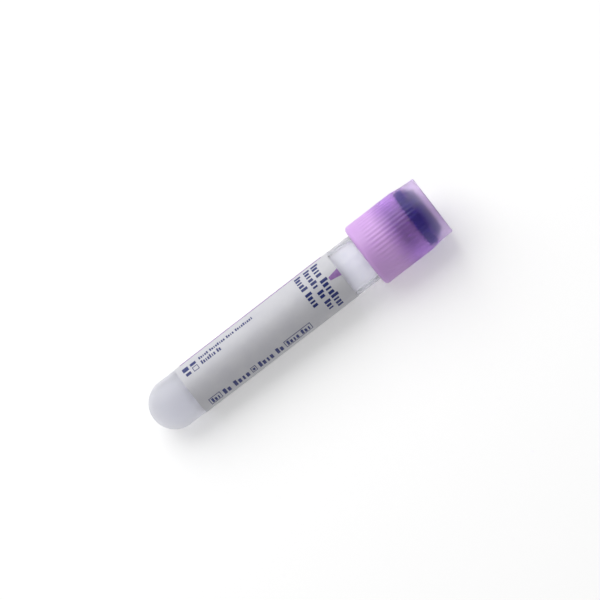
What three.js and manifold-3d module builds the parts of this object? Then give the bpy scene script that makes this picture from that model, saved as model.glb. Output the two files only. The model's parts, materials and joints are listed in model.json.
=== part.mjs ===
// Evacuated blood collection tube of the 13 x 75 mm size, with a shielded rubber stopper.
//
// Four pieces: a round-bottomed moulded tube, a film label wrapped round it, a rubber stopper
// that plugs the mouth, and a ribbed shield that grips the stopper and skirts the tube.
// Every piece is drawn along its own axis, +Z from the closed end to the closure, and the
// finished tube is then laid down on the surface it rests on. Millimetres throughout.

import * as THREE from "three";
import { mergeVertices } from "three/addons/utils/BufferGeometryUtils.js";
import Module from "manifold-3d";

const wasm = await Module();
wasm.setup();

// ---- Driving dimensions ----

// Tube, injection moulded with a slight draft that opens towards the mouth.
const TUBE_LENGTH = 75;
const MOUTH_RADIUS = 6.25;
const DOME_RADIUS = 6.1;
const MOUTH_WALL = 1.0;
const DOME_WALL = 1.05;
const DOME_FLOOR = 1.3;
const RIM_EDGE = 0.25;
const GATE_PAD_RADIUS = 1.1;
const GATE_NUB_RADIUS = 0.45;

// Label, wrapped round the tube with a window left open down one side. The turn is to the
// middle of the window, from the side that faces down when the tube lies.
const LABEL_START = 10.8;
const LABEL_LENGTH = 44.2;
const LABEL_THICKNESS = 0.1;
const LABEL_CORNER = 1.5;
const WINDOW_ANGLE = THREE.MathUtils.degToRad(58);
const WINDOW_TURN = THREE.MathUtils.degToRad(94);

// Stopper, one rubber moulding: a ringed plug, a flange that seats on the rim, and a tapered
// neck with a needle well in its top. The ledge is what the flange stands out past the neck's
// foot, and the neck's wall is its thickness round the well, at its top.
const PLUG_LENGTH = 5.1;
const PLUG_WALL = 1.9;
const PLUG_LEAD = 0.8;
const PLUG_RINGS = 2;
const RING_RELIEF = 0.25;
const HOLLOW_DEPTH = 3.2;
const FLANGE_OVERHANG = 0.6;
const FLANGE_THICKNESS = 2.8;
const FLANGE_LEDGE = 0.65;
const NECK_LENGTH = 2.25;
const NECK_TAPER = 1.6;
const NECK_WALL = 1.3;
const WELL_DEPTH = 3.4;
const STOPPER_EDGE = 0.3;

// Shield, one moulding: a round-edged skirt, a ribbed grip, a shoulder and a plain collar.
const SKIRT_LENGTH = 13.4;
const SKIRT_WALL = 1.35;
const SKIRT_CORNER = 1.1;
const SHOULDER_LENGTH = 2.5;
const SHOULDER_WALL = 0.85;
const COLLAR_LENGTH = 3.6;
const COLLAR_DRAFT = 0.1;
const RECESS_DEPTH = 1.35;
const TOP_EDGE = 0.35;
const BORE_EDGE = 0.15;
const BEAD_LENGTH = 0.9;
const RIBS = 48;
const GROOVE_DEPTH = 0.15;
const GROOVE_START = 2.8;
const GROOVE_RAMP = 0.5;

// Clearances between pieces that seat on or in one another, or slide past.
const SEAT_GAP = 0.04;
const PLUG_GAP = 0.04;
const LABEL_GAP = 0.02;
const SHIELD_GAP = 0.08;
const SKIRT_CLEARANCE = 0.57;
const BEAD_CLEARANCE = 0.35;

// Facets round a full turn. A rib takes three: two along its crest and one down in the groove.
const FACETS = 72;
const RIB_FACETS = 3;

// ---- Places worked out from the dimensions ----

// Heights, from the tip of the tube up.
const LABEL_END = LABEL_START + LABEL_LENGTH;
const SKIRT_END = TUBE_LENGTH - SKIRT_LENGTH;
const PLUG_BOTTOM = TUBE_LENGTH - PLUG_LENGTH;
const FLANGE_BOTTOM = TUBE_LENGTH + SEAT_GAP;
const FLANGE_TOP = FLANGE_BOTTOM + FLANGE_THICKNESS;
const NECK_TOP = FLANGE_TOP + NECK_LENGTH;
const SHIELD_TOP = NECK_TOP + RECESS_DEPTH;
const SHOULDER_TOP = SHIELD_TOP - COLLAR_LENGTH;
const SHOULDER_BOTTOM = SHOULDER_TOP - SHOULDER_LENGTH;
const GROOVE_LOW = SKIRT_END + GROOVE_START;
const GROOVE_HIGH = SHOULDER_TOP - GROOVE_RAMP / 2;
const BORE_CENTRE = DOME_FLOOR + DOME_RADIUS - DOME_WALL;

// Radii.
const FLANGE_RADIUS = MOUTH_RADIUS + FLANGE_OVERHANG;
const NECK_RADIUS = FLANGE_RADIUS - FLANGE_LEDGE;
const NECK_TOP_RADIUS = NECK_RADIUS - NECK_TAPER;
const POCKET_RADIUS = FLANGE_RADIUS + SHIELD_GAP;
const BEAD_RADIUS = MOUTH_RADIUS + BEAD_CLEARANCE;
const SKIRT_BORE_RADIUS = MOUTH_RADIUS + SKIRT_CLEARANCE;
const SKIRT_RADIUS = SKIRT_BORE_RADIUS + SKIRT_WALL;
const SHOULDER_RADIUS = POCKET_RADIUS + SHOULDER_WALL;
const TOP_RADIUS = SHOULDER_RADIUS - COLLAR_DRAFT;

// ---- Helpers ----

const QUARTER = Math.PI / 2;

// A point in the (radius, height) half-plane.
const at = (radius, height) => new THREE.Vector2(Math.max(0, radius), height);

// Points along an arc in the (radius, height) half-plane, both ends included.
function arc(radius, height, size, from, to, steps) {
  return Array.from({ length: steps + 1 }, (_, i) => {
    const angle = THREE.MathUtils.lerp(from, to, i / steps);
    return at(radius + size * Math.cos(angle), height + size * Math.sin(angle));
  });
}

// A solid of revolution about +Z, with a facet, not an edge, facing each of the four sides.
// The profile runs up the outside and down the inside of the section.
function revolve(profile, facets) {
  const geometry = new THREE.LatheGeometry(profile, facets, Math.PI / facets);
  return geometry.rotateX(QUARTER);
}

// The solid that a closed geometry bounds, ready to be cut.
function solid(geometry) {
  const bare = new THREE.BufferGeometry();
  bare.setAttribute("position", geometry.getAttribute("position"));
  bare.setIndex(geometry.index);
  const merged = mergeVertices(bare, 1e-4);
  const corners = merged.index.array;
  const triVerts = [];
  for (let i = 0; i < corners.length; i += 3) {
    const [a, b, c] = corners.subarray(i, i + 3);
    if (a !== b && b !== c && c !== a) triVerts.push(a, b, c);
  }
  const vertProperties = merged.getAttribute("position").array;
  const mesh = new wasm.Mesh({ numProp: 3, vertProperties, triVerts: new Uint32Array(triVerts) });
  return new wasm.Manifold(mesh);
}

// The surface of a cut solid, as a geometry.
function surface(body) {
  const mesh = body.getMesh();
  const geometry = new THREE.BufferGeometry();
  geometry.setAttribute("position", new THREE.BufferAttribute(mesh.vertProperties, 3));
  geometry.setIndex(new THREE.BufferAttribute(mesh.triVerts, 1));
  geometry.computeVertexNormals();
  return geometry;
}

// The outer radius of the tube's drafted wall at a height.
function wallRadius(height) {
  const share = (height - DOME_RADIUS) / (TUBE_LENGTH - DOME_RADIUS);
  return THREE.MathUtils.lerp(DOME_RADIUS, MOUTH_RADIUS, share);
}

// The radius of the tube's drafted bore at a height.
function boreRadius(height) {
  const share = (height - BORE_CENTRE) / (TUBE_LENGTH - BORE_CENTRE);
  return THREE.MathUtils.lerp(DOME_RADIUS - DOME_WALL, MOUTH_RADIUS - MOUTH_WALL, share);
}

// ---- Pieces ----

// The dome carries what the moulding gate leaves: a flat pad with a nub in the middle.
function tubeGeometry() {
  const padAngle = -Math.acos(GATE_PAD_RADIUS / DOME_RADIUS);
  const padHeight = DOME_RADIUS + DOME_RADIUS * Math.sin(padAngle);
  const edge = Math.min(RIM_EDGE, MOUTH_WALL / 3);
  const rim = TUBE_LENGTH - edge;
  return revolve(
    [
      at(0, 0),
      at(GATE_NUB_RADIUS, 0),
      at(GATE_NUB_RADIUS, padHeight),
      ...arc(0, DOME_RADIUS, DOME_RADIUS, padAngle, 0, 9),
      ...arc(MOUTH_RADIUS - edge, rim, edge, 0, QUARTER, 2),
      ...arc(MOUTH_RADIUS - MOUTH_WALL + edge, rim, edge, QUARTER, 2 * QUARTER, 2),
      ...arc(0, BORE_CENTRE, DOME_RADIUS - DOME_WALL, 0, -QUARTER, 9),
    ],
    FACETS,
  );
}

// The outline of the window in the label: a wide letter I, whose feet round off the label's
// four corners.
function windowShape() {
  const corner = LABEL_CORNER;
  const half = wallRadius(LABEL_START) * Math.sin(WINDOW_ANGLE / 2);
  const foot = half + corner;
  const shape = new THREE.Shape();
  shape.moveTo(-foot, LABEL_START - corner);
  shape.lineTo(foot, LABEL_START - corner);
  shape.absarc(foot, LABEL_START + corner, corner, -QUARTER, -2 * QUARTER, true);
  shape.absarc(foot, LABEL_END - corner, corner, 2 * QUARTER, QUARTER, true);
  shape.lineTo(foot, LABEL_END + corner);
  shape.lineTo(-foot, LABEL_END + corner);
  shape.absarc(-foot, LABEL_END - corner, corner, QUARTER, 0, true);
  shape.absarc(-foot, LABEL_START + corner, corner, 0, -QUARTER, true);
  shape.closePath();
  return shape;
}

// A sleeve on the drafted wall, cut open down one side.
function labelGeometry() {
  const inside = (height) => at(wallRadius(height) + LABEL_GAP, height);
  const outside = (height) => at(inside(height).x + LABEL_THICKNESS, height);
  const low = inside(LABEL_START);
  const sleeve = revolve(
    [low, outside(LABEL_START), outside(LABEL_END), inside(LABEL_END), low],
    FACETS,
  );
  const cutter = new THREE.ExtrudeGeometry(windowShape(), {
    depth: 2 * MOUTH_RADIUS,
    bevelEnabled: false,
    curveSegments: 4,
  });
  cutter.rotateX(QUARTER);
  cutter.rotateZ(QUARTER + WINDOW_TURN);
  return surface(solid(sleeve).subtract(solid(cutter)));
}

// The rings of the plug that seal against the bore, each with a waist above it.
function plugRings(low, waistRadius) {
  const pitch = (TUBE_LENGTH - low) / (PLUG_RINGS + 0.5);
  return Array.from({ length: PLUG_RINGS }, (_, i) => {
    const crest = low + (i + 0.5) * pitch;
    const crestRadius = waistRadius(crest) + RING_RELIEF;
    const crownRadius = crestRadius - RING_RELIEF / 4;
    return [
      at(crownRadius, crest - pitch / 5),
      at(crestRadius, crest),
      at(crownRadius, crest + pitch / 5),
      at(waistRadius(crest + pitch / 2), crest + pitch / 2),
    ];
  }).flat();
}

// The needle well in the neck and the hollow in the plug leave a septum between them.
function stopperGeometry() {
  const edge = STOPPER_EDGE;
  const leadTop = PLUG_BOTTOM + PLUG_LEAD;
  const waistRadius = (height) => boreRadius(height) - PLUG_GAP - RING_RELIEF;
  const hollowRadius = waistRadius(leadTop) - PLUG_WALL;
  const hollowTop = PLUG_BOTTOM + HOLLOW_DEPTH;
  const wellRadius = NECK_TOP_RADIUS - NECK_WALL;
  const wellFloor = NECK_TOP - WELL_DEPTH;
  return revolve(
    [
      at(0, hollowTop),
      ...arc(hollowRadius - edge, hollowTop - edge, edge, QUARTER, 0, 2),
      at(hollowRadius, PLUG_BOTTOM + edge),
      at(hollowRadius + edge, PLUG_BOTTOM),
      ...arc(waistRadius(leadTop) - PLUG_LEAD, leadTop, PLUG_LEAD, -QUARTER, 0, 3),
      ...plugRings(leadTop, waistRadius),
      at(waistRadius(FLANGE_BOTTOM), FLANGE_BOTTOM),
      at(FLANGE_RADIUS - edge, FLANGE_BOTTOM),
      at(FLANGE_RADIUS, FLANGE_BOTTOM + edge),
      at(FLANGE_RADIUS, FLANGE_TOP - edge),
      at(FLANGE_RADIUS - edge, FLANGE_TOP),
      at(NECK_RADIUS, FLANGE_TOP),
      ...arc(NECK_TOP_RADIUS - edge, NECK_TOP - edge, edge, 0, QUARTER, 2),
      at(wellRadius + edge, NECK_TOP),
      at(wellRadius, NECK_TOP - edge),
      ...arc(wellRadius - edge, wellFloor + edge, edge, 0, -QUARTER, 2),
      at(0, wellFloor),
    ],
    FACETS,
  );
}

// The shield's outer form, still solid. Every third column of the grip and the shoulder is
// pulled in to the bottom of a groove, and the grooves run out at both ends.
function groovedGeometry() {
  const columns = RIBS * RIB_FACETS;
  const top = SHIELD_TOP - TOP_EDGE;
  const fall = (SKIRT_RADIUS - SHOULDER_RADIUS) / SHOULDER_LENGTH;
  const shoulder = (height) => at(SKIRT_RADIUS - fall * (height - SHOULDER_BOTTOM), height);
  const corner = SKIRT_END + SKIRT_CORNER;
  const body = revolve(
    [
      at(0, SKIRT_END),
      ...arc(SKIRT_RADIUS - SKIRT_CORNER, corner, SKIRT_CORNER, -QUARTER, 0, 4),
      at(SKIRT_RADIUS, GROOVE_LOW),
      at(SKIRT_RADIUS, GROOVE_LOW + GROOVE_RAMP),
      at(SKIRT_RADIUS, SHOULDER_BOTTOM),
      shoulder(GROOVE_HIGH - GROOVE_RAMP),
      shoulder(GROOVE_HIGH),
      at(SHOULDER_RADIUS, SHOULDER_TOP),
      ...arc(TOP_RADIUS - TOP_EDGE, top, TOP_EDGE, 0, QUARTER, 2),
      at(0, SHIELD_TOP),
    ],
    columns,
  );
  const position = body.getAttribute("position");
  const slack = GROOVE_RAMP / 10;
  for (let i = 0; i < position.count; i++) {
    const height = position.getZ(i);
    const grooved = height > GROOVE_LOW + slack && height < GROOVE_HIGH - slack;
    const turn = Math.atan2(position.getY(i), position.getX(i)) / (2 * Math.PI);
    const column = Math.round(turn * columns - 0.5);
    if (!grooved || THREE.MathUtils.euclideanModulo(column, RIB_FACETS)) continue;
    const radius = Math.hypot(position.getX(i), position.getY(i));
    const scale = 1 - GROOVE_DEPTH / radius;
    position.setX(i, position.getX(i) * scale);
    position.setY(i, position.getY(i) * scale);
  }
  return body;
}

// What is bored out of the shield. From the skirt up: room for the tube, a bead that snaps
// under the stopper's flange, a pocket for the flange, a taper round the neck, and a hole above
// it that the needle goes in by.
function shieldBoreGeometry() {
  const spare = SKIRT_CORNER;
  const beadTop = FLANGE_BOTTOM - SHIELD_GAP;
  const beadBottom = beadTop - BEAD_LENGTH;
  const beadSlope = BEAD_LENGTH / 3;
  const pocketTop = FLANGE_TOP + SHIELD_GAP;
  const taperTop = NECK_TOP - STOPPER_EDGE + SHIELD_GAP;
  const holeRadius = NECK_TOP_RADIUS + SHIELD_GAP;
  return revolve(
    [
      at(0, SKIRT_END - spare),
      at(SKIRT_BORE_RADIUS + BORE_EDGE, SKIRT_END - spare),
      at(SKIRT_BORE_RADIUS + BORE_EDGE, SKIRT_END),
      at(SKIRT_BORE_RADIUS, SKIRT_END + BORE_EDGE),
      at(SKIRT_BORE_RADIUS, beadBottom),
      at(BEAD_RADIUS, beadBottom + beadSlope),
      at(BEAD_RADIUS, beadTop - beadSlope),
      at(POCKET_RADIUS, beadTop),
      at(POCKET_RADIUS, pocketTop),
      at(NECK_RADIUS + SHIELD_GAP, pocketTop),
      at(holeRadius, taperTop),
      at(holeRadius, SHIELD_TOP - BORE_EDGE),
      at(holeRadius + BORE_EDGE, SHIELD_TOP),
      at(holeRadius + BORE_EDGE, SHIELD_TOP + spare),
      at(0, SHIELD_TOP + spare),
    ],
    FACETS,
  );
}

function shieldGeometry() {
  return surface(solid(groovedGeometry()).subtract(solid(shieldBoreGeometry())));
}

// ---- Materials ----

function plastic(color, roughness, opacity) {
  const transparent = opacity < 1;
  return new THREE.MeshStandardMaterial({ color, roughness, metalness: 0, transparent, opacity });
}

const clearPlastic = plastic(0xdfe0ea, 0.12, 0.4);
const labelFilm = plastic(0xe4e4ea, 0.45, 1);
const darkRubber = plastic(0x2c1f5c, 0.6, 1);
const lavenderPlastic = plastic(0xb48fce, 0.35, 0.75);

// ---- Assembly ----

function piece(name, geometry, material) {
  const mesh = new THREE.Mesh(geometry, material);
  mesh.name = name;
  return mesh;
}

// The tube lies on the round of its dome and the corner of its skirt. Both are circles in the
// section, and their common tangent is the surface that it rests on.
function restAngle() {
  const run = SKIRT_END + SKIRT_CORNER - DOME_RADIUS;
  const rise = SKIRT_RADIUS - SKIRT_CORNER;
  return Math.atan2(rise, run) - Math.asin((DOME_RADIUS - SKIRT_CORNER) / Math.hypot(run, rise));
}

const uprightTube = new THREE.Group();
uprightTube.add(
  piece("tube", tubeGeometry(), clearPlastic),
  piece("label", labelGeometry(), labelFilm),
  piece("stopper", stopperGeometry(), darkRubber),
  piece("shield", shieldGeometry(), lavenderPlastic),
);
uprightTube.rotation.y = QUARTER - restAngle();

const collectionTube = new THREE.Group();
collectionTube.add(uprightTube);
const extent = new THREE.Box3().setFromObject(collectionTube, true);
uprightTube.position.set(-(extent.min.x + extent.max.x) / 2, 0, -extent.min.z);

export default collectionTube;
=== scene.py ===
"""Looks for the evacuated blood collection tube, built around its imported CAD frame.

Every piece is drawn upright in millimetres, in the tube's own axes: local Z runs from the tip of
the dome to the closure, local X points up and local Y to the side that the camera looks from.
Angles run from local X towards local Y. One matrix then lays all pieces down where the frame has
the tube.
"""

import json
import math

import bpy
from mathutils import Matrix, Vector


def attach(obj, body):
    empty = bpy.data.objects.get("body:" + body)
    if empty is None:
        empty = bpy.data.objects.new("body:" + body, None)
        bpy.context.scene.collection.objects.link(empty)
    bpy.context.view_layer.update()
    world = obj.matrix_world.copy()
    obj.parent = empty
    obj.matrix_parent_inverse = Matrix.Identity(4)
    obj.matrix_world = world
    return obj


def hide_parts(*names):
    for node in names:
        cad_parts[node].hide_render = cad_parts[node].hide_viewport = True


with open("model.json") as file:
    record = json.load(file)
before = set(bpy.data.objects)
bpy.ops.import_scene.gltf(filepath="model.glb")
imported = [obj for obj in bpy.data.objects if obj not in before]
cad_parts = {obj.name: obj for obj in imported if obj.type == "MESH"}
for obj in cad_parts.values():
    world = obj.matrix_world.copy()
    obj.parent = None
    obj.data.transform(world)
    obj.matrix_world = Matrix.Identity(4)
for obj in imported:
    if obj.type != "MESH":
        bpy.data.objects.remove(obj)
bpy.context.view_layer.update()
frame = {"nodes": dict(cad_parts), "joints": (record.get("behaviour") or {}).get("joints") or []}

MM = 0.001
QUARTER = math.pi / 2

# ---- Sizes in millimetres, as the CAD pieces have them, but for the grooves of the grip ----

DOME_RADIUS = 6.1
MOUTH_RADIUS = 6.25
DOME_WALL = 1.05
MOUTH_WALL = 1.0
DOME_FLOOR = 1.3
RIM_EDGE = 0.25
GATE_PAD_RADIUS = 1.1
GATE_NUB_RADIUS = 0.45

LABEL_GAP = 0.02
LABEL_THICKNESS = 0.1
LABEL_CORNER = 1.5

# The strip that the label leaves open, by its width and by where its middle is.
WINDOW_ANGLE = math.radians(58)
WINDOW_TURN = math.radians(-86)

PLUG_WALL = 1.9
PLUG_LEAD = 0.8
PLUG_RINGS = 2
RING_RELIEF = 0.25
HOLLOW_DEPTH = 3.2
FLANGE_OVERHANG = 0.6
FLANGE_THICKNESS = 2.8
FLANGE_LEDGE = 0.65
NECK_TAPER = 1.6
NECK_WALL = 1.3
WELL_DEPTH = 3.4
STOPPER_EDGE = 0.3

SKIRT_WALL = 1.35
SKIRT_CORNER = 1.1
SHOULDER_LENGTH = 2.5
SHOULDER_WALL = 0.85
COLLAR_LENGTH = 3.6
COLLAR_DRAFT = 0.1
TOP_EDGE = 0.35
BORE_EDGE = 0.15
BEAD_LENGTH = 0.9
RIBS = 48
GROOVE_START = 2.8
GROOVE_RAMP = 0.5
GROOVE_PHASE = math.radians(1.25)

# The grooves' edges are drawn softer than the CAD cuts them, and so they are shallower too.
GROOVE_DEPTH = 0.07

SEAT_GAP = 0.04
PLUG_GAP = 0.04
SHIELD_GAP = 0.08
SKIRT_CLEARANCE = 0.57
BEAD_CLEARANCE = 0.35

# The rubber's flange and neck are pressed to the shield, so that no gap shines round them.
SQUEEZE = 0.01

# ---- How finely the surfaces are divided ----

TUBE_COLUMNS = 160
STOPPER_COLUMNS = 144
COLUMNS_PER_RIB = 16
LABEL_STEP = math.radians(2)
PRINT_STEP = math.radians(2.5)
DOME_STEPS = 30
EDGE_STEPS = 5
SMALL_EDGE_STEPS = 3
LEAD_STEPS = 8
RING_STEPS = 10
SKIRT_CORNER_STEPS = 10
TOP_EDGE_STEPS = 6
GRIP_ROWS = 24
SHOULDER_ROWS = 10
SHARP_ANGLE = math.radians(32)

# ---- Where the frame has the tube ----

# The closure comes off along the tube's axis, so its joint gives that axis.
AXIS = Vector(frame["joints"][0]["axis"]).normalized()
SIDE = Vector((0, -1, 0))
UP = SIDE.cross(AXIS)


def node_points(node):
    return [vertex.co for vertex in frame["nodes"][node].data.vertices]


def middle(node, direction):
    """The middle of a node's extent along a direction, in metres."""
    along = [point.dot(direction) for point in node_points(node)]
    return (min(along) + max(along)) / 2


TIP = min(point.dot(AXIS) for point in node_points("tube"))
ORIGIN = TIP * AXIS + middle("tube", UP) * UP + middle("tube", SIDE) * SIDE
TURN = Matrix((UP, SIDE, AXIS)).transposed().to_4x4()
LAY_DOWN = Matrix.Translation(ORIGIN) @ TURN @ Matrix.Scale(MM, 4)


def heights(node):
    """The lowest and highest of a node along the tube, in millimetres from the tip."""
    along = [point.dot(AXIS) for point in node_points(node)]
    return (min(along) - TIP) / MM, (max(along) - TIP) / MM


TUBE_LENGTH = heights("tube")[1]
LABEL_START, LABEL_END = heights("label")
PLUG_BOTTOM, NECK_TOP = heights("stopper")
SKIRT_END, SHIELD_TOP = heights("shield")

FLANGE_BOTTOM = TUBE_LENGTH + SEAT_GAP
FLANGE_TOP = FLANGE_BOTTOM + FLANGE_THICKNESS
SHOULDER_TOP = SHIELD_TOP - COLLAR_LENGTH
SHOULDER_BOTTOM = SHOULDER_TOP - SHOULDER_LENGTH
BORE_CENTRE = DOME_FLOOR + DOME_RADIUS - DOME_WALL
FLANGE_RADIUS = MOUTH_RADIUS + FLANGE_OVERHANG
NECK_RADIUS = FLANGE_RADIUS - FLANGE_LEDGE
NECK_TOP_RADIUS = NECK_RADIUS - NECK_TAPER
POCKET_RADIUS = FLANGE_RADIUS + SHIELD_GAP
SKIRT_BORE_RADIUS = MOUTH_RADIUS + SKIRT_CLEARANCE
SKIRT_RADIUS = SKIRT_BORE_RADIUS + SKIRT_WALL
SQUEEZED_RADIUS = POCKET_RADIUS + SQUEEZE
SHOULDER_RADIUS = POCKET_RADIUS + SHOULDER_WALL
TOP_RADIUS = SHOULDER_RADIUS - COLLAR_DRAFT
GRIP_LOW = SKIRT_END + GROOVE_START
GROOVES_HIGH = SHOULDER_TOP - GROOVE_RAMP / 2
LABEL_LEFT = WINDOW_TURN + WINDOW_ANGLE / 2
LABEL_RIGHT = WINDOW_TURN + 2 * math.pi - WINDOW_ANGLE / 2


def lerp(low, high, share):
    return low + (high - low) * share


def wall_radius(height):
    """The radius of the tube's outside above the dome, with its draft."""
    share = (height - DOME_RADIUS) / (TUBE_LENGTH - DOME_RADIUS)
    return lerp(DOME_RADIUS, MOUTH_RADIUS, share)


def bore_radius(height):
    """The radius of the tube's bore above the dome, with its draft."""
    share = (height - BORE_CENTRE) / (TUBE_LENGTH - BORE_CENTRE)
    return lerp(DOME_RADIUS - DOME_WALL, MOUTH_RADIUS - MOUTH_WALL, share)


# ---- Mesh helpers ----


def arc(radius, height, size, start, end, steps):
    """Points on an arc in the (radius, height) half-plane, both ends included."""
    angles = [lerp(start, end, i / steps) for i in range(steps + 1)]
    return [(radius + size * math.cos(a), height + size * math.sin(a)) for a in angles]


def add_mesh(name, vertices, faces, body):
    """A smooth piece with crisp edges, laid down and riding on its body."""
    mesh = bpy.data.meshes.new(name)
    mesh.from_pydata(vertices, [], faces)
    mesh.validate()
    mesh.polygons.foreach_set("use_smooth", [True] * len(mesh.polygons))
    mesh.set_sharp_from_angle(angle=SHARP_ANGLE)
    piece = bpy.data.objects.new(name, mesh)
    bpy.context.scene.collection.objects.link(piece)
    mesh.transform(LAY_DOWN)
    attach(piece, body)
    return piece


def revolve(profile, columns, shape=None):
    """Vertices and faces of a profile turned about the axis. The profile runs up the outside of
    the section and down its inside, and a point on the axis is a pole. shape(radius, height,
    angle) may move a point in or out."""
    on_axis = 1e-6
    vertices = []
    rings = []
    for radius, height in profile:
        first = len(vertices)
        if radius < on_axis:
            vertices.append((0, 0, height))
            rings.append([first] * columns)
            continue
        for column in range(columns):
            angle = 2 * math.pi * column / columns
            reach = shape(radius, height, angle) if shape else radius
            vertices.append((reach * math.cos(angle), reach * math.sin(angle), height))
        rings.append(list(range(first, first + columns)))
    closed = profile[0][0] > on_axis
    pairs = list(zip(rings, rings[1:])) + ([(rings[-1], rings[0])] if closed else [])
    faces = []
    for low, high in pairs:
        for column in range(columns):
            after = (column + 1) % columns
            corners = [low[column], low[after], high[after], high[column]]
            face = [c for i, c in enumerate(corners) if c != corners[i - 1]]
            if len(face) > 2:
                faces.append(face)
    return vertices, faces


def patch(start, end, rows, back, thickness, step, inset=None):
    """A thin curved tile on the tube's wall, between two angles and through rows of heights.
    back(height) is the radius of its back, and inset(height) draws both its sides in."""
    columns = max(1, math.ceil((end - start) / step))
    vertices = []
    for height in rows:
        drawn_in = inset(height) / back(height) if inset else 0
        for layer in range(2):
            reach = back(height) + layer * thickness
            for column in range(columns + 1):
                angle = lerp(start + drawn_in, end - drawn_in, column / columns)
                vertices.append((reach * math.cos(angle), reach * math.sin(angle), height))
    width = columns + 1

    def spot(row, layer, column):
        return (row * 2 + layer) * width + column

    faces = []
    for row in range(len(rows) - 1):
        for c in range(columns):
            behind = [spot(row, 0, c), spot(row + 1, 0, c), spot(row + 1, 0, c + 1)]
            faces.append(behind + [spot(row, 0, c + 1)])
            front = [spot(row, 1, c), spot(row, 1, c + 1), spot(row + 1, 1, c + 1)]
            faces.append(front + [spot(row + 1, 1, c)])
        for c, turn in ((0, 1), (columns, -1)):
            edge = [spot(row, 0, c), spot(row, 1, c), spot(row + 1, 1, c), spot(row + 1, 0, c)]
            faces.append(edge[::turn])
    for row, turn in ((0, 1), (len(rows) - 1, -1)):
        for c in range(columns):
            edge = [spot(row, 0, c), spot(row, 0, c + 1), spot(row, 1, c + 1), spot(row, 1, c)]
            faces.append(edge[::turn])
    return vertices, faces


def rounded(low, high, corner):
    """The rows and the inset that give a patch round corners."""
    turns = [QUARTER * i / EDGE_STEPS for i in range(EDGE_STEPS + 1)]
    bends = [corner * (1 - math.cos(turn)) for turn in turns]
    rows = sorted({low + bend for bend in bends} | {high - bend for bend in bends})

    def inset(height):
        into_corner = max(0, corner - min(height - low, high - height))
        return corner - math.sqrt(max(0, corner**2 - into_corner**2))

    return rows, inset


def joined(parts):
    """Several (vertices, faces) as one."""
    vertices = []
    faces = []
    for part_vertices, part_faces in parts:
        first = len(vertices)
        vertices += part_vertices
        faces += [[first + corner for corner in face] for face in part_faces]
    return vertices, faces


# ---- Material helpers ----

# Nearly all of a noise lies between these values.
NOISE_LOW = 0.35
NOISE_HIGH = 0.65


def material(name, **sockets):
    """A Principled material. Plain numbers and colours go straight on its sockets."""
    mat = bpy.data.materials.new(name)
    mat.use_nodes = True
    shader = mat.node_tree.nodes["Principled BSDF"]
    for socket, value in sockets.items():
        shader.inputs[socket.replace("_", " ")].default_value = value
    return mat, mat.node_tree, shader


def noise(tree, scale, detail=2.0, roughness=0.5):
    """Noise in object space, at a scale in waves to the metre."""
    place = tree.nodes.new("ShaderNodeTexCoord")
    texture = tree.nodes.new("ShaderNodeTexNoise")
    texture.inputs["Scale"].default_value = scale
    texture.inputs["Detail"].default_value = detail
    texture.inputs["Roughness"].default_value = roughness
    tree.links.new(place.outputs["Object"], texture.inputs["Vector"])
    return texture.outputs["Fac"]


def ramp(tree, value, low, high, start=NOISE_LOW, end=NOISE_HIGH):
    """A value that runs from start to end, turned into one that runs from low to high."""
    node = tree.nodes.new("ShaderNodeMapRange")
    node.inputs["From Min"].default_value = start
    node.inputs["From Max"].default_value = end
    node.inputs["To Min"].default_value = low
    node.inputs["To Max"].default_value = high
    tree.links.new(value, node.inputs["Value"])
    return node.outputs["Result"]


def added(tree, first, second):
    node = tree.nodes.new("ShaderNodeMath")
    node.operation = "ADD"
    tree.links.new(first, node.inputs[0])
    tree.links.new(second, node.inputs[1])
    return node.outputs["Value"]


def blend_colours(tree, share, first, second):
    node = tree.nodes.new("ShaderNodeMix")
    node.data_type = "RGBA"
    node.inputs["A"].default_value = (*first, 1)
    node.inputs["B"].default_value = (*second, 1)
    tree.links.new(share, node.inputs["Factor"])
    return node.outputs["Result"]


def bump(tree, shader, height, distance, strength):
    node = tree.nodes.new("ShaderNodeBump")
    node.inputs["Distance"].default_value = distance
    node.inputs["Strength"].default_value = strength
    tree.links.new(height, node.inputs["Height"])
    tree.links.new(node.outputs["Normal"], shader.inputs["Normal"])


def along_tube(tree):
    """The distance from the tube's tip, in millimetres."""
    place = tree.nodes.new("ShaderNodeTexCoord")
    project = tree.nodes.new("ShaderNodeVectorMath")
    project.operation = "DOT_PRODUCT"
    project.inputs[1].default_value = AXIS / MM
    tree.links.new(place.outputs["Object"], project.inputs[0])
    shift = tree.nodes.new("ShaderNodeMath")
    shift.operation = "SUBTRACT"
    shift.inputs[1].default_value = TIP / MM
    tree.links.new(project.outputs["Value"], shift.inputs[0])
    return shift.outputs["Value"]


def banded(tree, value, bands):
    """A colour or a grey that blends from band to band: bands is (value, colour), upwards."""
    first, last = bands[0][0], bands[-1][0]
    node = tree.nodes.new("ShaderNodeValToRGB")
    stops = node.color_ramp.elements
    stops.remove(stops[-1])
    for place, colour in bands[1:]:
        stops.new((place - first) / (last - first)).color = (*colour, 1)
    stops[0].color = (*bands[0][1], 1)
    tree.links.new(ramp(tree, value, 0, 1, start=first, end=last), node.inputs["Fac"])
    return node.outputs["Color"]


def grey(value):
    return (value, value, value)


# ---- Materials ----

WALL_IOR = 1.45

# How rough the outside of the tube is, and how clear its film of additive is, from the label's
# start to its end. They stay the same beyond it.
DOME_SATIN = 0.29
MOUTH_SATIN = 0.14
DOME_CLEAR = 0.54
MOUTH_CLEAR = 0.91


def over_label(tree, low, high):
    """low at the dome, high at the mouth, and blended behind the label."""
    return ramp(tree, along_tube(tree), low, high, start=LABEL_START, end=LABEL_END)


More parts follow.
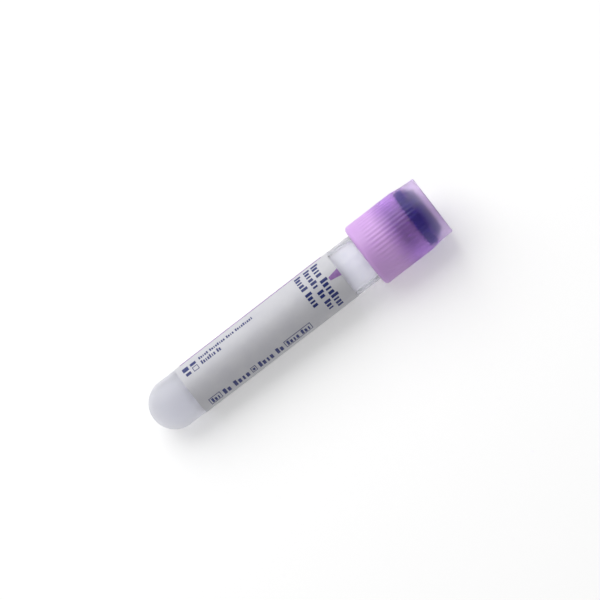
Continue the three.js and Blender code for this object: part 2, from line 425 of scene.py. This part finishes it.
def clear_wall():
    """The outside of the tube, satin on the dome and clearer towards the closure."""
    mat, tree, shader = material(
        "clear_wall",
        Base_Color=(0.95, 0.955, 0.98, 1),
        IOR=WALL_IOR,
        Transmission_Weight=1.0,
    )
    smudges = ramp(tree, noise(tree, scale=220, detail=3), 0, 0.04)
    satin = over_label(tree, DOME_SATIN, MOUTH_SATIN)
    tree.links.new(added(tree, smudges, satin), shader.inputs["Roughness"])
    return mat


def frosted_wall():
    """The inside of the tube, with its film of spray-dried additive, which is densest in the
    dome."""
    mat, tree, shader = material("frosted_wall", IOR=WALL_IOR)
    film = noise(tree, scale=900, detail=4, roughness=0.6)
    tint = blend_colours(tree, ramp(tree, film, 0, 1), (0.92, 0.92, 0.985), (0.95, 0.95, 1.0))
    tree.links.new(tint, shader.inputs["Base Color"])
    tree.links.new(ramp(tree, film, 0.8, 0.65), shader.inputs["Roughness"])
    clear = over_label(tree, DOME_CLEAR, MOUTH_CLEAR)
    tree.links.new(clear, shader.inputs["Transmission Weight"])
    return mat


def label_film():
    """White film, faintly cloudy and grained."""
    mat, tree, shader = material("label_film", Roughness=0.42)
    cloud = noise(tree, scale=260, detail=3)
    tint = blend_colours(tree, ramp(tree, cloud, 0, 1), (0.66, 0.66, 0.71), (0.70, 0.70, 0.74))
    tree.links.new(tint, shader.inputs["Base Color"])
    grain = noise(tree, scale=2500, detail=3)
    bump(tree, shader, grain, distance=0.02 * MM, strength=0.25)
    return mat


def ink(name, dense, thin):
    """Printed ink, which covers more densely in places."""
    mat, tree, shader = material(name, Roughness=0.4)
    cover = noise(tree, scale=1800)
    tint = blend_colours(tree, ramp(tree, cover, 0, 1), dense, thin)
    tree.links.new(tint, shader.inputs["Base Color"])
    bump(tree, shader, noise(tree, scale=5000), distance=0.01 * MM, strength=0.2)
    return mat


def rubber():
    """Dark blue butyl rubber, matt and faintly grained."""
    mat, tree, shader = material("stopper_rubber", Specular_IOR_Level=0.35)
    cloud = noise(tree, scale=500, detail=3)
    dark, light = (0.018, 0.009, 0.20), (0.026, 0.013, 0.25)
    tint = blend_colours(tree, ramp(tree, cloud, 0, 1), dark, light)
    tree.links.new(tint, shader.inputs["Base Color"])
    tree.links.new(ramp(tree, cloud, 0.5, 0.62), shader.inputs["Roughness"])
    bump(tree, shader, noise(tree, scale=4000, detail=3), distance=0.03 * MM, strength=0.3)
    return mat


# The shield's colour and how clear it is, over the tube's wall, over the rubber's plug, over its
# flange and neck, and in the lip above the neck. The deeper violet over the plug is painted shade:
# it stands in for the dark rubber's shade seen through the plastic.
SKIRT_TINT = (0.82, 0.485, 0.985)
PAINTED_PLUG_SHADE_TINT = (0.71, 0.405, 0.96)
NECK_TINT = (0.83, 0.57, 0.92)
COLLAR_TINT = (0.80, 0.66, 0.90)
SKIRT_CLEAR = 0.1
PLUG_CLEAR = 0.78
SHOULDER_CLEAR = 1
NECK_CLEAR = 0.78
LIP_CLEAR = 0.75

# How far its bands blend, in millimetres: on both sides of the plug's lower end and of the neck's
# top, then below the shoulder, into the shoulder from below, and up into the collar.
PLUG_BLUR = 2.0
LIP_BLUR = 0.2
SHADE_BLUR = 1.0
SHOULDER_BLUR = 0.4
COLLAR_BLUR = 0.8


def translucent_plastic():
    """Tinted polypropylene, milkier in the skirt's and the collar's thick walls than in the thin
    shoulder. Over the rubber's plug it is painted a deeper violet, as painted shade that stands in
    for the rubber's shade inside it."""
    mat, tree, shader = material(
        "shield_plastic",
        IOR=1.22,
        Coat_Weight=0.5,
        Coat_Roughness=0.3,
        Coat_IOR=1.6,
    )
    height = along_tube(tree)
    tint = banded(
        tree,
        height,
        (
            (SKIRT_END, SKIRT_TINT),
            (PLUG_BOTTOM - PLUG_BLUR, SKIRT_TINT),
            # From here the colour is painted shade, a deeper violet for the rubber's shade seen
            # through the plastic.
            (PLUG_BOTTOM + PLUG_BLUR, PAINTED_PLUG_SHADE_TINT),
            (SHOULDER_BOTTOM, PAINTED_PLUG_SHADE_TINT),
            (SHOULDER_BOTTOM + SHOULDER_BLUR, NECK_TINT),
            (SHOULDER_TOP, NECK_TINT),
            (SHOULDER_TOP + COLLAR_BLUR, COLLAR_TINT),
        ),
    )
    cloud = noise(tree, scale=150)
    tree.links.new(tint, shader.inputs["Base Color"])
    tree.links.new(ramp(tree, cloud, 0.55, 0.6), shader.inputs["Roughness"])
    clear = banded(
        tree,
        height,
        (
            (SKIRT_END, grey(SKIRT_CLEAR)),
            (PLUG_BOTTOM - PLUG_BLUR, grey(SKIRT_CLEAR)),
            (PLUG_BOTTOM + PLUG_BLUR, grey(PLUG_CLEAR)),
            (SHOULDER_BOTTOM - SHADE_BLUR, grey(PLUG_CLEAR)),
            (SHOULDER_BOTTOM + SHOULDER_BLUR, grey(SHOULDER_CLEAR)),
            (SHOULDER_TOP, grey(SHOULDER_CLEAR)),
            (NECK_TOP - LIP_BLUR, grey(NECK_CLEAR)),
            (NECK_TOP + LIP_BLUR, grey(LIP_CLEAR)),
        ),
    )
    tree.links.new(clear, shader.inputs["Transmission Weight"])
    return mat


# ---- Pieces ----


def make_tube():
    """The moulded tube, with the gate's pad and nub on its dome."""
    pad_angle = -math.acos(GATE_PAD_RADIUS / DOME_RADIUS)
    pad_height = DOME_RADIUS + DOME_RADIUS * math.sin(pad_angle)
    rim = TUBE_LENGTH - RIM_EDGE
    bore_rim = MOUTH_RADIUS - MOUTH_WALL + RIM_EDGE
    nub_edge = GATE_NUB_RADIUS / 4
    outside = [
        (0, 0),
        *arc(GATE_NUB_RADIUS - nub_edge, nub_edge, nub_edge, -QUARTER, 0, SMALL_EDGE_STEPS),
        (GATE_NUB_RADIUS, pad_height),
        *arc(0, DOME_RADIUS, DOME_RADIUS, pad_angle, 0, DOME_STEPS),
        *arc(MOUTH_RADIUS - RIM_EDGE, rim, RIM_EDGE, 0, QUARTER, EDGE_STEPS),
        *arc(bore_rim, rim, RIM_EDGE, QUARTER, 2 * QUARTER, EDGE_STEPS),
    ]
    inside = arc(0, BORE_CENTRE, DOME_RADIUS - DOME_WALL, 0, -QUARTER, DOME_STEPS)
    vertices, faces = revolve(outside + inside, TUBE_COLUMNS)
    tube = add_mesh("moulded_tube", vertices, faces, "tube_body")
    tube.data.materials.append(clear_wall())
    tube.data.materials.append(frosted_wall())
    # The faces that come after the outside's and the rim's are the bore's, which has the film.
    outer_faces = (len(outside) - 1) * TUBE_COLUMNS
    for face in tube.data.polygons[outer_faces:]:
        face.material_index = 1
    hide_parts("tube")


def label_back(height):
    return wall_radius(height) + LABEL_GAP


def label_front(height):
    return label_back(height) + LABEL_THICKNESS


def make_label():
    """The film label, wrapped round the tube but for its open strip."""
    rows, inset = rounded(LABEL_START, LABEL_END, LABEL_CORNER)
    vertices, faces = patch(
        LABEL_LEFT,
        LABEL_RIGHT,
        rows,
        label_back,
        LABEL_THICKNESS,
        LABEL_STEP,
        inset,
    )
    label = add_mesh("wrapped_label", vertices, faces, "tube_body")
    label.data.materials.append(label_film())
    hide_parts("label")


# ---- The label's print, as plain bars and blocks ----

INK_THICKNESS = 0.03
INK_SUNK = 0.01
SMALL_SHARE = 0.76
WIDE_SHARE = 0.7
NARROW_SHARE = 0.45
NARROW_EVERY = 3
TALL_EVERY = 4
WORD_SPACE = 0.7
LINE_WIDTH = 0.16
BOX_MARGIN = 2.5 * LINE_WIDTH
EDGE_STRIPE = 0.75
FILL_MARK_START = math.radians(7)
FILL_MARK_END = math.radians(24)
FILL_MARK_LENGTH = 2.8
FILL_MARK_INSET = 0.5

# Each ink, where it covers densely and where it is thin.
NAVY = ((0.010, 0.020, 0.15), (0.015, 0.030, 0.20))
LAVENDER = ((0.30, 0.15, 0.43), (0.36, 0.19, 0.50))


def label_angle(distance):
    """The angle of a distance round the label, in millimetres."""
    return distance / label_front(LABEL_END)


def ink_back(height):
    return label_front(height) - INK_SUNK


def ink_tile(low, high, start, end, inset=None):
    """A bar of ink between two heights and two angles, sunk a little into the film."""
    return patch(start, end, [low, high], ink_back, INK_SUNK + INK_THICKNESS, PRINT_STEP, inset)


def bars(words, length):
    """Where the bars of a greeked line stand, as (start, end, height share): words is the
    characters in each word, and length is the line's. Every third bar is a narrow one, and each
    word's first and every fourth after it are tall."""
    spaces = len(words) - 1
    pitch = length / (sum(words) + spaces * WORD_SPACE)
    place = 0
    stand = []
    for word in words:
        for character in range(word):
            share = NARROW_SHARE if (character + 1) % NARROW_EVERY == 0 else WIDE_SHARE
            tall = 1 if character % TALL_EVERY == 0 else SMALL_SHARE
            first = place + (1 - share) / 2 * pitch
            stand.append((first, first + share * pitch, tall))
            place += pitch
        place += WORD_SPACE * pitch
    return stand


def line_round(low, high, start, end, words):
    """A greeked line that runs round the tube, with its foot towards the dome."""
    turn = label_angle(1)
    tiles = []
    for first, last, tall in bars(words, (end - start) / turn):
        top = lerp(low, high, tall)
        tiles.append(ink_tile(low, top, start + first * turn, start + last * turn))
    return tiles


def line_along(low, high, start, end, words):
    """A greeked line that runs along the tube, with its foot at the end angle."""
    tiles = []
    for first, last, tall in bars(words, high - low):
        tiles.append(ink_tile(low + first, low + last, lerp(end, start, tall), end))
    return tiles


def box_outline(low, high, start, end):
    turn = label_angle(LINE_WIDTH)
    return [
        ink_tile(low, high, start, start + turn),
        ink_tile(low, high, end - turn, end),
        ink_tile(low, low + LINE_WIDTH, start + turn, end - turn),
        ink_tile(high - LINE_WIDTH, high, start + turn, end - turn),
    ]


def boxed_line(low, high, start, end, words):
    turn = label_angle(BOX_MARGIN)
    line = line_along(low + BOX_MARGIN, high - BOX_MARGIN, start + turn, end - turn, words)
    return box_outline(low, high, start, end) + line


def navy_print():
    """The lines, boxes and blocks. Each has its two heights, its two angles and, where it is a
    line, its words."""
    degree = math.radians(1)
    return [
        *line_round(45.3, 47.0, -40 * degree, 46 * degree, (5, 4)),
        *line_round(47.9, 49.5, -40 * degree, 74 * degree, (6, 2, 3)),
        *line_round(50.0, 51.9, -40 * degree, 83 * degree, (4, 8)),
        *boxed_line(13.0, 16.2, 65 * degree, 87 * degree, (3,)),
        *line_along(16.7, 24.4, 67 * degree, 86 * degree, (2, 4)),
        *box_outline(25.0, 26.4, 67 * degree, 85 * degree),
        ink_tile(25.4, 26.0, 72 * degree, 80 * degree),
        *line_along(27.0, 34.2, 67 * degree, 86 * degree, (4, 2)),
        *boxed_line(34.8, 42.4, 65 * degree, 87 * degree, (4, 3)),
        ink_tile(12.2, 13.8, -29 * degree, -17 * degree),
        ink_tile(12.4, 13.8, -12 * degree, -5 * degree),
        ink_tile(14.4, 16.0, -28 * degree, -20 * degree),
        *box_outline(14.5, 16.0, -16 * degree, -4 * degree),
        *line_along(16.9, 32.6, -30 * degree, -22 * degree, (5, 8, 4, 9)),
        *line_along(16.9, 22.6, -17 * degree, -7 * degree, (7, 2)),
    ]


def fill_inset(height):
    """Draws the wedge in towards its point, which is its lower end."""
    return FILL_MARK_INSET * (LABEL_END - height) / FILL_MARK_LENGTH


def lavender_print():
    """The stripe along the label's left edge, and the wedge that marks how high to fill."""
    stripe_low = LABEL_START + LABEL_CORNER
    stripe_high = LABEL_END - LABEL_CORNER
    stripe_end = LABEL_LEFT + label_angle(EDGE_STRIPE)
    fill_low = LABEL_END - FILL_MARK_LENGTH
    return [
        ink_tile(stripe_low, stripe_high, LABEL_LEFT, stripe_end),
        ink_tile(fill_low, LABEL_END, FILL_MARK_START, FILL_MARK_END, fill_inset),
    ]


def make_print():
    for name, tiles, slot, shades in (
        ("label_print_navy", navy_print(), "print_navy", NAVY),
        ("label_print_lavender", lavender_print(), "print_lavender", LAVENDER),
    ):
        vertices, faces = joined(tiles)
        piece = add_mesh(name, vertices, faces, "tube_body")
        piece.data.materials.append(ink(slot, *shades))


def waist(height):
    """The radius of the stopper's plug between its sealing rings."""
    return bore_radius(height) - PLUG_GAP - RING_RELIEF


def sealing_rings(low):
    """The plug's side from a height up: the rings, and after the last one half a pitch free."""
    pitch = (TUBE_LENGTH - low) / (PLUG_RINGS + 0.5)
    side = []
    for step in range(RING_STEPS * PLUG_RINGS):
        share = (step + 1) / RING_STEPS
        height = low + share * pitch
        side.append((waist(height) + RING_RELIEF * math.sin(math.pi * share) ** 2, height))
    return side


def edge_arc(radius, height, start, end):
    """One of the stopper's round edges."""
    return arc(radius, height, STOPPER_EDGE, start, end, EDGE_STEPS)


def make_stopper():
    """The stopper, with its hollow plug, its flange and its tapered neck with the needle well."""
    edge = STOPPER_EDGE
    lead_top = PLUG_BOTTOM + PLUG_LEAD
    hollow_top = PLUG_BOTTOM + HOLLOW_DEPTH
    well_radius = NECK_TOP_RADIUS - NECK_WALL
    well_floor = NECK_TOP - WELL_DEPTH
    hollow_radius = waist(lead_top) - PLUG_WALL
    profile = [
        (0, hollow_top),
        *edge_arc(hollow_radius - edge, hollow_top - edge, QUARTER, 0),
        *edge_arc(hollow_radius + edge, PLUG_BOTTOM + edge, 2 * QUARTER, 3 * QUARTER),
        *arc(waist(lead_top) - PLUG_LEAD, lead_top, PLUG_LEAD, -QUARTER, 0, LEAD_STEPS),
        *sealing_rings(lead_top),
        (waist(FLANGE_BOTTOM), FLANGE_BOTTOM),
        *edge_arc(SQUEEZED_RADIUS - edge, FLANGE_BOTTOM + edge, -QUARTER, 0),
        *edge_arc(SQUEEZED_RADIUS - edge, FLANGE_TOP - edge, 0, QUARTER),
        (NECK_RADIUS, FLANGE_TOP),
        *edge_arc(NECK_TOP_RADIUS - edge, NECK_TOP - edge, 0, QUARTER),
        *edge_arc(well_radius + edge, NECK_TOP - edge, QUARTER, 2 * QUARTER),
        *edge_arc(well_radius - edge, well_floor + edge, 0, -QUARTER),
        (0, well_floor),
    ]
    vertices, faces = revolve(profile, STOPPER_COLUMNS)
    stopper = add_mesh("rubber_stopper", vertices, faces, "closure")
    stopper.data.materials.append(rubber())
    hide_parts("stopper")


def smooth_step(value, low, high):
    share = min(1, max(0, (value - low) / (high - low)))
    return share * share * (3 - 2 * share)


def grooved(radius, height, angle):
    """The shield's radius, with its grip's grooves. They run out at both ends, and the bore,
    which is nearer the axis, has none."""
    if radius < TOP_RADIUS or not GRIP_LOW < height < GROOVES_HIGH:
        return radius
    run_out = smooth_step(height, GRIP_LOW, GRIP_LOW + GROOVE_RAMP)
    run_out *= 1 - smooth_step(height, GROOVES_HIGH - GROOVE_RAMP, GROOVES_HIGH)
    cut = 0.5 + 0.5 * math.cos((angle - GROOVE_PHASE) * RIBS)
    return radius - GROOVE_DEPTH * run_out * cut


def shoulder_point(share):
    """A point on the shoulder's slope, from its foot to its top."""
    radius = lerp(SKIRT_RADIUS, SHOULDER_RADIUS, share)
    return radius, lerp(SHOULDER_BOTTOM, SHOULDER_TOP, share)


def bore_arc(radius, height, start, end):
    """A round edge of the shield's hole or of its bore."""
    return arc(radius, height, BORE_EDGE, start, end, SMALL_EDGE_STEPS)


def make_shield():
    """The ribbed shield, with its skirt, shoulder and collar, and inside it the pocket and the
    bead that hold the stopper's flange."""
    corner = SKIRT_END + SKIRT_CORNER
    top = SHIELD_TOP - TOP_EDGE
    hole_radius = NECK_TOP_RADIUS - SQUEEZE
    taper_top = NECK_TOP - STOPPER_EDGE
    bead_radius = MOUTH_RADIUS + BEAD_CLEARANCE
    bead_top = FLANGE_BOTTOM - SHIELD_GAP
    bead_bottom = bead_top - BEAD_LENGTH
    bead_slope = BEAD_LENGTH / 3
    pocket_top = FLANGE_TOP - SQUEEZE
    grip_step = (SHOULDER_BOTTOM - GRIP_LOW) / GRIP_ROWS
    profile = [
        *arc(SKIRT_RADIUS - SKIRT_CORNER, corner, SKIRT_CORNER, -QUARTER, 0, SKIRT_CORNER_STEPS),
        *[(SKIRT_RADIUS, GRIP_LOW + grip_step * row) for row in range(GRIP_ROWS)],
        *[shoulder_point(row / SHOULDER_ROWS) for row in range(SHOULDER_ROWS + 1)],
        *arc(TOP_RADIUS - TOP_EDGE, top, TOP_EDGE, 0, QUARTER, TOP_EDGE_STEPS),
        *bore_arc(hole_radius + BORE_EDGE, SHIELD_TOP - BORE_EDGE, QUARTER, 2 * QUARTER),
        (hole_radius, taper_top),
        (NECK_RADIUS - SQUEEZE, pocket_top),
        (POCKET_RADIUS, pocket_top),
        (POCKET_RADIUS, bead_top),
        (bead_radius, bead_top - bead_slope),
        (bead_radius, bead_bottom + bead_slope),
        (SKIRT_BORE_RADIUS, bead_bottom),
        *bore_arc(SKIRT_BORE_RADIUS + BORE_EDGE, SKIRT_END + BORE_EDGE, 2 * QUARTER, 3 * QUARTER),
    ]
    vertices, faces = revolve(profile, RIBS * COLUMNS_PER_RIB, grooved)
    shield = add_mesh("closure_shield", vertices, faces, "closure")
    shield.data.materials.append(translucent_plastic())
    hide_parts("shield")


# ---- Floor, light and camera, in metres, with the lens and the sensor in millimetres ----

FLOOR_HALF = 1.5
VIEW_ELEVATION = math.radians(66)
IMAGE_TURN = math.radians(36.7)
VIEW_DISTANCE = 1.2
LENS = 311.4
SENSOR = 36
AIM = Vector((0.0028, 0.0009, 0.0085))
FLOOR_GLOW = 0.34
WORLD_LIGHT = 0.3
KEY_PLACE = (-0.1, 0.45, 0.6)
KEY_SIZE = 0.9
KEY_WATTS = 5.2

# A direction rises by 0 where it is level and by 1 where it is straight up. The cove starts to
# dim at the first of these rises, and is the ceiling from the second.
COVE_TOP = 0.1
CEILING_EDGE = 0.6
CEILING_SEEN = 0.15


def seen(tree, strength=1.0):
    """The strength for rays that see a surface, straight, in a mirror or through glass, and 0
    for those that light the object."""
    path = tree.nodes.new("ShaderNodeLightPath")
    total = None
    for ray in ("Is Camera Ray", "Is Glossy Ray", "Is Transmission Ray"):
        add = tree.nodes.new("ShaderNodeMath")
        add.operation = "MULTIPLY_ADD"
        add.inputs[1].default_value = strength
        add.inputs[2].default_value = 0
        tree.links.new(path.outputs[ray], add.inputs[0])
        if total:
            tree.links.new(total, add.inputs[2])
        total = add.outputs["Value"]
    return total


def make_floor():
    """A wide white floor, which glows a little where it is seen and takes the shadow."""
    mesh = bpy.data.meshes.new("floor")
    corners = [(-1, -1), (1, -1), (1, 1), (-1, 1)]
    mesh.from_pydata([(x * FLOOR_HALF, y * FLOOR_HALF, 0) for x, y in corners], [], [(0, 1, 2, 3)])
    floor = bpy.data.objects.new("floor", mesh)
    bpy.context.scene.collection.objects.link(floor)
    mat, tree, shader = material(
        "white_floor",
        Base_Color=(0.86, 0.86, 0.86, 1),
        Roughness=0.9,
        Specular_IOR_Level=0.1,
        Emission_Color=(1, 1, 1, 1),
    )
    tree.links.new(seen(tree, FLOOR_GLOW), shader.inputs["Emission Strength"])
    mesh.materials.append(mat)


def make_world():
    """A white cove with a dimmer ceiling, which lights the object less than it shows."""
    world = bpy.data.worlds.new("studio")
    bpy.context.scene.world = world
    world.use_nodes = True
    tree = world.node_tree
    background = tree.nodes["Background"]
    background.inputs["Color"].default_value = (1, 1, 1, 1)
    direction = tree.nodes.new("ShaderNodeTexCoord")
    axes = tree.nodes.new("ShaderNodeSeparateXYZ")
    tree.links.new(direction.outputs["Generated"], axes.inputs["Vector"])
    light = tree.nodes.new("ShaderNodeMix")
    light.inputs["A"].default_value = WORLD_LIGHT
    tree.links.new(seen(tree), light.inputs["Factor"])
    cove = ramp(tree, axes.outputs["Z"], 1, CEILING_SEEN, start=COVE_TOP, end=CEILING_EDGE)
    tree.links.new(cove, light.inputs["B"])
    tree.links.new(light.outputs["Result"], background.inputs["Strength"])


def add_lamp(name, place, size, watts):
    """A square soft lamp, aimed at the middle of the object."""
    data = bpy.data.lights.new(name, "AREA")
    data.size = size
    data.energy = watts
    lamp = bpy.data.objects.new(name, data)
    bpy.context.scene.collection.objects.link(lamp)
    lamp.location = place
    lamp.rotation_euler = (AIM - Vector(place)).to_track_quat("-Z", "Y").to_euler()


def make_camera():
    """Looks across the tube, from its side and above, and rolled so that the tube runs up to
    the right."""
    to_camera = Vector((0, -math.cos(VIEW_ELEVATION), math.sin(VIEW_ELEVATION)))
    level_right = Vector((1, 0, 0))
    level_up = to_camera.cross(level_right)
    right = math.cos(IMAGE_TURN) * level_right - math.sin(IMAGE_TURN) * level_up
    up = math.sin(IMAGE_TURN) * level_right + math.cos(IMAGE_TURN) * level_up
    data = bpy.data.cameras.new("camera")
    data.lens = LENS
    data.sensor_width = SENSOR
    camera = bpy.data.objects.new("camera", data)
    bpy.context.scene.collection.objects.link(camera)
    turn = Matrix((right, up, to_camera)).transposed().to_4x4()
    camera.matrix_world = Matrix.Translation(AIM + VIEW_DISTANCE * to_camera) @ turn
    bpy.context.scene.camera = camera


make_tube()
make_label()
make_print()
make_stopper()
make_shield()
make_floor()
make_world()
add_lamp("key", KEY_PLACE, KEY_SIZE, KEY_WATTS)
make_camera()
bpy.context.scene.view_settings.view_transform = "Standard"
